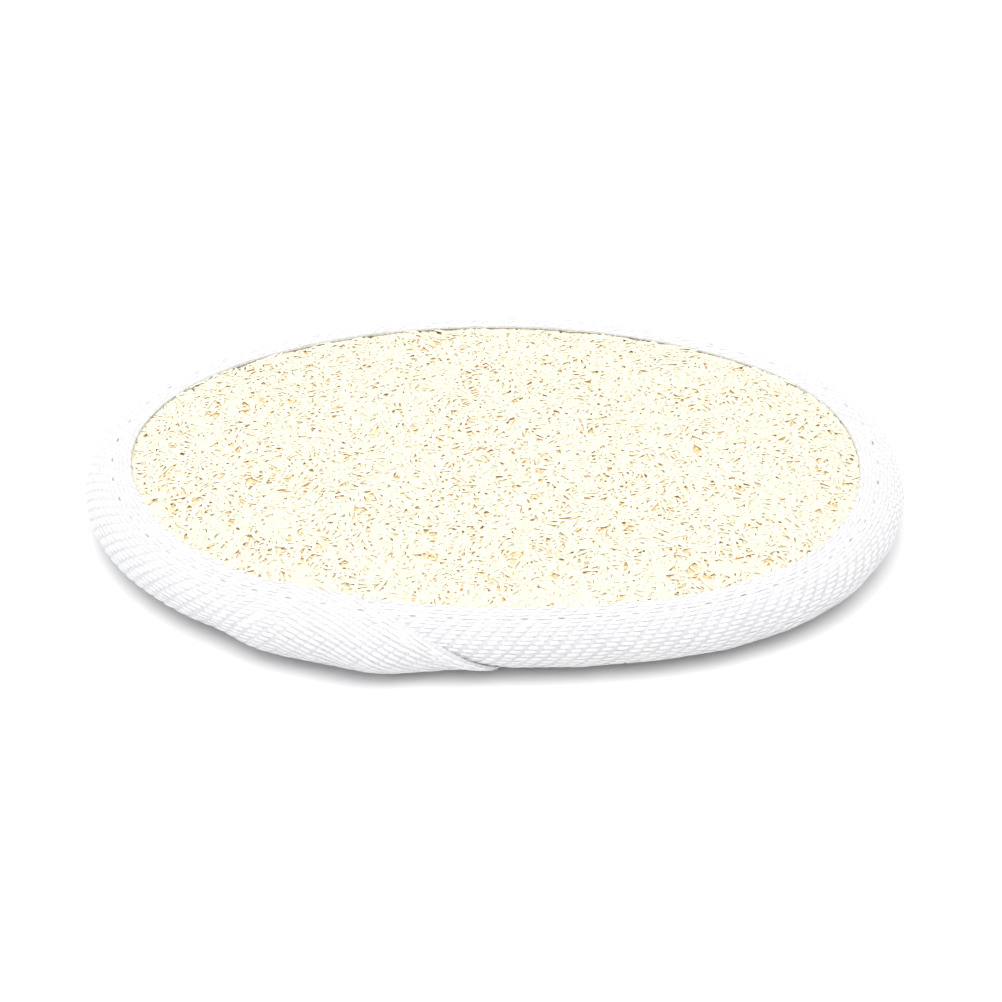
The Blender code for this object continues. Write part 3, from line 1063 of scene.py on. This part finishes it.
        # The relief runs from the floats' lower sides up to their tops; the material paints shade at the
        # low end.
        store(piece.data, "relief", np.broadcast_to(np.clip(z + 0.75, 0.0, 1.0), along.shape).ravel())
        return piece

    def from_stitch(self, along: np.ndarray, turn: np.ndarray) -> tuple[np.ndarray, np.ndarray]:
        """Return how far points lie from the nearest stitch hole, signed along the tape, and across it."""
        lengthways = (along / self.stitch + 0.5) % 1.0 * self.stitch - 0.5 * self.stitch
        return lengthways, self.fold.off_seam(turn) * self.fold.reach

    def part_at_stitches(self, middles: np.ndarray, length: np.ndarray) -> tuple[np.ndarray, np.ndarray]:
        """Shorten the floats that the stitches push aside, so that a slit is left at each hole.

        Args:
            middles: The floats' middles, as ways along and across the tape.
            length: Their lengths.

        Returns:
            The new middles and lengths.
        """
        lengthways, sideways = self.from_stitch(middles[:, 0], self.fold.turn_at(middles[:, 1]))
        side = np.where(lengthways < 0.0, -1.0, 1.0)
        inner, outer = np.abs(lengthways) - length / 2, np.abs(lengthways) + length / 2
        pushed = (sideways < 0.55 * self.fold.width() / self.rows) & (inner < self.slit / 2)
        start = np.where(pushed, self.slit / 2, inner)
        middles = middles.copy()
        middles[:, 0] += side * ((start + outer) / 2 - np.abs(lengthways))
        return middles, np.maximum(outer - start, 0.3 * MM)

    def pits(self, along: np.ndarray, turn: np.ndarray) -> np.ndarray:
        """Return 1 in the middle of each stitch hole, and 0 away from them."""
        lengthways, sideways = self.from_stitch(along, turn)
        return np.exp(-((lengthways / (0.65 * self.slit)) ** 2 + (sideways / (0.28 * self.slit)) ** 2))

    def on_top(self, along: np.ndarray) -> np.ndarray:
        """Return whether points lie on the tape's second half, whose end is the lap's upper run."""
        return along > self.fold.outline.length() / 2

    def lap_lift(self, along: np.ndarray, turn: np.ndarray) -> np.ndarray:
        """Return how far the upper run stands off the plain surface, 0 on the lower run."""
        upper = self.on_top(along)
        past = np.where(upper, along - self.fold.outline.length(), -1.0)
        return np.where(upper, self.fold.lap(past, turn), 0.0)

    def pressed(self, along: np.ndarray, turn: np.ndarray) -> np.ndarray:
        """Return how far the lower run is pressed in under the lap, easing out past its end."""
        eased = 1.0 - smooth((along - self.fold.cut(turn)) / self.pressed_ramp)
        return np.where(self.on_top(along), 0.0, self.pressed_depth * eased)

    def surface(self, along: np.ndarray, turn: np.ndarray) -> np.ndarray:
        """Return the depth of the tape's outer side, without its weave.

        Args:
            along: Ways along the tape, from the front middle.
            turn: Turns round the fold.

        Returns:
            Depths into the fold from the plain surface.
        """
        length = self.fold.outline.length()
        to_cut = np.where(self.on_top(along), length + self.fold.cut(turn) - along, length)
        rounded = np.sqrt(np.clip(1.0 - (1.0 - np.clip(to_cut / self.edge_round, 0.0, 1.0)) ** 2, 0.0, 1.0))
        hem = 1.0 - smooth((to_cut - self.hem) / self.hem_ramp)
        (short, short_size), (wide, wide_size) = self.wrinkles
        uneven = short * ripple(along, turn * 8 * MM, short_size, 5) * np.sin(turn)
        uneven += wide * ripple(along, turn * 2 * MM, wide_size, 6)
        lift = self.lap_lift(along, turn) * rounded + self.hem_lift * hem * rounded
        return self.fold.groove(turn) + self.pressed(along, turn) + uneven - lift

    def build(self) -> bpy.types.Object:
        """Cut, trim, weave and fold the tape.

        Returns:
            The dressed piece.
        """
        strip = self.cut_flat()
        self.trim(strip)
        mesh = strip.data
        flat = points_of(mesh)
        length, width = self.fold.outline.length(), self.fold.width()
        along, across, level = flat[:, 0], np.clip(flat[:, 1], 0.0, width), flat[:, 2]
        turn = self.fold.turn_at(across)
        outer = level > -0.5 * self.thickness
        outer_depth = self.surface(along, turn) + self.ground_depth
        under = np.maximum(self.thickness - self.lap_lift(along, turn), 0.12 * MM)
        inner_depth = np.where(self.on_top(along), under, self.thickness + self.pressed(along, turn))
        depth = np.where(outer, outer_depth, np.maximum(inner_depth, outer_depth + 0.05 * MM))
        map_flat(mesh, flat)
        move_points(mesh, self.fold.place(along, turn, depth))
        # Painted shade: the strip's outer side, which is the ground between the floats, takes nearly the
        # hollow colour.
        store(mesh, "relief", np.where(outer, 0.1, 0.5))
        mesh.polygons.foreach_set("use_smooth", [True] * len(mesh.polygons))
        seam = float(np.interp(self.fold.seam_turn, *self.fold.section()))
        material = self.finish.make("cotton_tape", ((self.stitch / 2, 0.0), (width / 2, seam)))
        piece = dress(strip, "twill_tape", material, ["binding_tape"])
        dress(self.lay_floats(), "twill_floats", material)
        middle = self.fold.place(np.linspace(0.0, length, 400), math.pi / 2, 0.0)
        cut_length = (float(walked(middle)[-1]) + length) / 2 + self.lap_length
        return piece


@dataclass
class TerryCloth:
    """The terry cloth behind the loofah: a ground cloth and its loops of pile."""

    outline: PadOutline
    fold: TapeFold
    finish: TerryFinish
    ground_height: float = 1.15 * MM
    rim_lift: float = 0.6 * MM
    tucked: tuple[Span, ...] = ((176.0, 0.65 * MM), (165.0, 0.75 * MM), (150.0, 1.1 * MM))
    tucked_width: float = 5 * MM
    pitch: float = 1.75 * MM
    row_share: float = 0.82
    scatter: float = 0.16
    root_lift: float = 0.25 * MM
    root_rim_lift: float = 0.7 * MM
    loop_height: float = 1.30 * MM
    loop_width: float = 1.35 * MM
    loop_cut: float = 0.22
    yarn: float = 0.42 * MM

    def build_ground(self) -> bpy.types.Object:
        """Model the ground cloth, tucked up under the tape and level where the pile stands on it."""
        around = np.linspace(0.0, self.outline.length(), 160, endpoint=False)
        angles = self.outline.angles_at(around)
        rings = []
        for share in (0.06, 0.3, 0.55, 0.8, 0.93, 0.985):
            level = self.outline.ring(angles, share)
            height = self.ground_height + self.rim_lift * smooth((share - 0.9) / 0.1)
            rings.append(np.concatenate([level, np.full((len(level), 1), height)], axis=1))
        rings += [self.fold.place(around, math.radians(turn), depth) for turn, depth in self.tucked]
        piece = skin_rings(np.array(rings))
        count = len(piece.data.vertices)
        # Painted shade: the ground cloth under the pile is coloured most of the way to the root grey.
        store(piece.data, "painted_shade", np.full(count, 0.8))
        store(piece.data, "tone", np.full(count, 0.5))
        return piece

    def model_loop(self) -> Pattern:
        """Model one loop of pile as by hand: a ring of yarn with its upper half cut away."""
        deselect_all()
        bpy.ops.mesh.primitive_torus_add(major_radius=0.5, minor_radius=0.5 * self.yarn / self.loop_width,
                                         major_segments=8, minor_segments=3,
                                         rotation=(math.pi / 2, 0.0, 0.0))
        ring = bpy.context.object
        bpy.ops.object.transform_apply(rotation=True)
        bpy.ops.object.mode_set(mode="EDIT")
        bpy.ops.mesh.select_all(action="SELECT")
        bpy.ops.mesh.bisect(plane_co=(0.0, 0.0, self.loop_cut), plane_no=(0.0, 0.0, 1.0), use_fill=True,
                            clear_outer=True)
        bpy.ops.object.mode_set(mode="OBJECT")
        return Pattern.taken_from(ring)

    def build_pile(self) -> bpy.types.Object:
        """Set the loops in leaning rows over the back, each turned and tipped a little."""
        draw = np.random.default_rng(41)
        columns = np.arange(-self.outline.half_length, self.outline.half_length, self.pitch)
        lines = np.arange(-self.outline.half_width, self.outline.half_width, self.pitch * self.row_share)
        x, y = (grid.ravel() for grid in np.meshgrid(columns, lines))
        x = x + np.where(np.arange(len(x)) // len(columns) % 2, 0.5, 0.0) * self.pitch
        x = x + draw.normal(0.0, self.scatter, len(x)) * self.pitch + self.outline.centre[0]
        y = y + draw.normal(0.0, self.scatter, len(y)) * self.pitch + self.outline.centre[1]
        keep = self.outline.share(x, y) < 0.975
        x, y = x[keep][:, None], y[keep][:, None]
        share = self.outline.share(x, y)
        count = len(x)
        heading = draw.normal(0.5, 0.7, count)[:, None]
        tip = draw.normal(0.0, 0.35, count)[:, None]
        size = draw.uniform(0.85, 1.15, count)[:, None]
        tone = draw.uniform(0.0, 1.0, count)[:, None]
        pattern = self.model_loop()
        across, side, up = (pattern.points[:, axis][None, :] for axis in range(3))
        hang = (self.loop_cut - up) / (0.5 + self.loop_cut)
        side = side * self.loop_width + np.sin(tip) * hang * self.loop_height
        across = across * self.loop_width * size
        way_x, way_y = turned(heading, across, side)
        root = self.ground_height + self.root_lift + self.root_rim_lift * smooth((share - 0.9) / 0.1)
        drop = np.minimum(hang * self.loop_height * size * np.cos(tip), root - 0.02 * MM)
        piece = pattern.copied(np.stack([x + way_x, y + way_y, root - drop], axis=-1))
        # Painted shade: each loop greys towards its root.
        store(piece.data, "painted_shade", np.clip(1.0 - hang, 0.0, 1.0).repeat(count, axis=0).ravel())
        store(piece.data, "tone", np.broadcast_to(tone, drop.shape).ravel())
        return piece

    def build(self) -> None:
        """Build and dress the cloth and its pile."""
        material = self.finish.make("terry_cotton")
        ground = dress(self.build_ground(), "terry_cloth", material, ["terry_backing"])
        pile = dress(self.build_pile(), "terry_pile", material)
        halves = (self.outline.half_width, self.outline.half_length)
        size = tuple(2 * (half + self.tucked_width) for half in halves)
        math.pi / 4 * size[0] * size[1]
        LOG.info("terry: %d faces of pile", len(pile.data.polygons))


@dataclass
class SeamThread:
    """One thread of the lockstitch seam, which sinks into the tape at each hole."""

    tape: BindingTape
    finish: ThreadFinish
    node: str
    turn: float
    radius: float = 0.16 * MM
    stand: float = 0.20 * MM
    sunk: float = 0.22 * MM
    dip: float = 0.25
    end_gap: float = 0.2 * MM
    sides: int = 6
    steps: int = 14

    def build(self) -> bpy.types.Object:
        """Model the thread as a tube that follows the tape's surface, and dress it.

        Returns:
            The dressed piece.
        """
        fold = self.tape.fold
        length = fold.outline.length()
        stitches = int(length / self.tape.stitch)
        begin = fold.cut(self.turn) + self.end_gap
        along = begin + np.linspace(0.0, length - 2 * self.end_gap, stitches * self.steps)
        wave = np.sin(along / self.tape.stitch % 1.0 * math.pi)
        arch = np.sqrt(np.clip((wave - self.dip) / (1.0 - self.dip), 0.0, 1.0))
        surface = self.tape.surface(along, np.full(len(along), self.turn))
        depth = surface + self.sunk - self.stand * (2.0 * arch - 1.0)
        line = fold.place(along, self.turn, depth)
        ahead = np.gradient(line, axis=0)
        ahead /= np.linalg.norm(ahead, axis=1, keepdims=True)
        out = fold.place(along, self.turn, depth - 1.0 * MM) - line
        side = np.cross(ahead, out)
        side /= np.linalg.norm(side, axis=1, keepdims=True)
        out = np.cross(side, ahead)
        angles = np.linspace(0.0, 2.0 * math.pi, self.sides, endpoint=False)[None, :, None]
        ring = side[:, None] * np.cos(angles) + out[:, None] * np.sin(angles)
        piece = skin_rings(line[:, None] + self.radius * ring)
        index = np.arange(len(along) * self.sides)
        flat = np.stack([along[index // self.sides], index % self.sides * self.radius], axis=1)
        map_flat(piece.data, flat)
        LOG.info("%s: %d stitches", self.node, stitches)
        finish = self.finish.make(self.node + "_cotton")
        return dress(piece, self.node + "_seam", finish, [self.node])


@dataclass(frozen=True)
class Lamp:
    """A square soft light that faces the pad, with its side in metres and its power in watts."""

    name: str
    place: Place
    side: float
    power: float
    colour: Colour = (1.0, 1.0, 1.0)

    def hang(self) -> None:
        """Add the light."""
        bpy.ops.object.light_add(type="AREA", location=self.place)
        lamp = bpy.context.object
        lamp.name = self.name
        lamp.data.size = self.side
        lamp.data.energy = self.power
        lamp.data.color = self.colour
        lamp.rotation_mode = "QUATERNION"
        lamp.rotation_quaternion = Vector(self.place).to_track_quat("Z", "Y")


@dataclass
class Studio:
    """The plain floor, the soft light and the camera at the photograph's angle."""

    elevation: float = math.radians(33.0)
    azimuth: float = math.radians(2.1)
    distance: float = 0.65
    pixels_per_mm: float = 5.476
    image_side: int = 1002
    origin_pixel: tuple[float, float] = (494.3, 514.0)
    sensor: float = 36.0
    daylight: float = 0.70
    lamps: tuple[Lamp, ...] = (Lamp("overhead", (-0.04, -0.07, 0.85), 1.3, 11.0),
                               Lamp("left_fill", (-0.8, -0.5, 0.4), 0.6, 0.4, (0.90, 0.94, 1.0)))

    def direction(self) -> Vector:
        """Return the direction from the pad to the camera."""
        level = math.cos(self.elevation)
        return Vector((math.sin(self.azimuth) * level, -math.cos(self.azimuth) * level,
                       math.sin(self.elevation)))

    def add_camera(self) -> None:
        """Place the camera so that the frame's origin falls on its pixel."""
        away = self.direction()
        right = Vector((math.cos(self.azimuth), math.sin(self.azimuth), 0.0))
        up = away.cross(right)
        middle = self.image_side / 2
        aim = right * ((middle - self.origin_pixel[0]) / self.pixels_per_mm * MM)
        aim += up * ((self.origin_pixel[1] - middle) / self.pixels_per_mm * MM)
        bpy.ops.object.camera_add(location=aim + away * self.distance)
        camera = bpy.context.object
        camera.name = "camera"
        camera.rotation_mode = "QUATERNION"
        camera.rotation_quaternion = away.to_track_quat("Z", "Y")
        camera.data.sensor_width = self.sensor
        camera.data.lens = self.pixels_per_mm / MM * self.distance * self.sensor / self.image_side
        camera.data.clip_start = 0.01
        bpy.context.scene.camera = camera

    def add_floor(self) -> None:
        """Lay the floor."""
        deselect_all()
        bpy.ops.mesh.primitive_plane_add(size=6.0)
        floor = bpy.context.object
        floor.name = "floor"
        floor.data.materials.append(FloorFinish().make("floor"))

    def build(self) -> None:
        """Set up the studio."""
        world = bpy.data.worlds.new("studio")
        world.use_nodes = True
        background = world.node_tree.nodes["Background"].inputs
        background["Color"].default_value = (1.0, 1.0, 1.0, 1.0)
        background["Strength"].default_value = self.daylight
        bpy.context.scene.world = world
        bpy.context.scene.view_settings.view_transform = "Standard"
        self.add_floor()
        for lamp in self.lamps:
            lamp.hang()
        self.add_camera()
        LOG.info("studio: lens %.0f mm", bpy.context.scene.camera.data.lens)


def main() -> None:
    """Build the pad, piece by piece, and the studio round it."""
    logging.basicConfig(level=logging.INFO, format="%(name)s %(message)s")
    outline = PadOutline()
    fold = TapeFold(outline)
    LoofahMat(outline, fold, LoofahFinish()).build()
    TerryCloth(outline, fold, TerryFinish()).build()
    tape = BindingTape(fold, CottonTapeFinish())
    tape.build()
    SeamThread(tape, ThreadFinish(), "needle_thread", fold.seam_turn).build()
    SeamThread(tape, ThreadFinish(), "bobbin_thread", math.pi - fold.seam_turn).build()
    Studio().build()


if __name__ == "__main__":
    main()
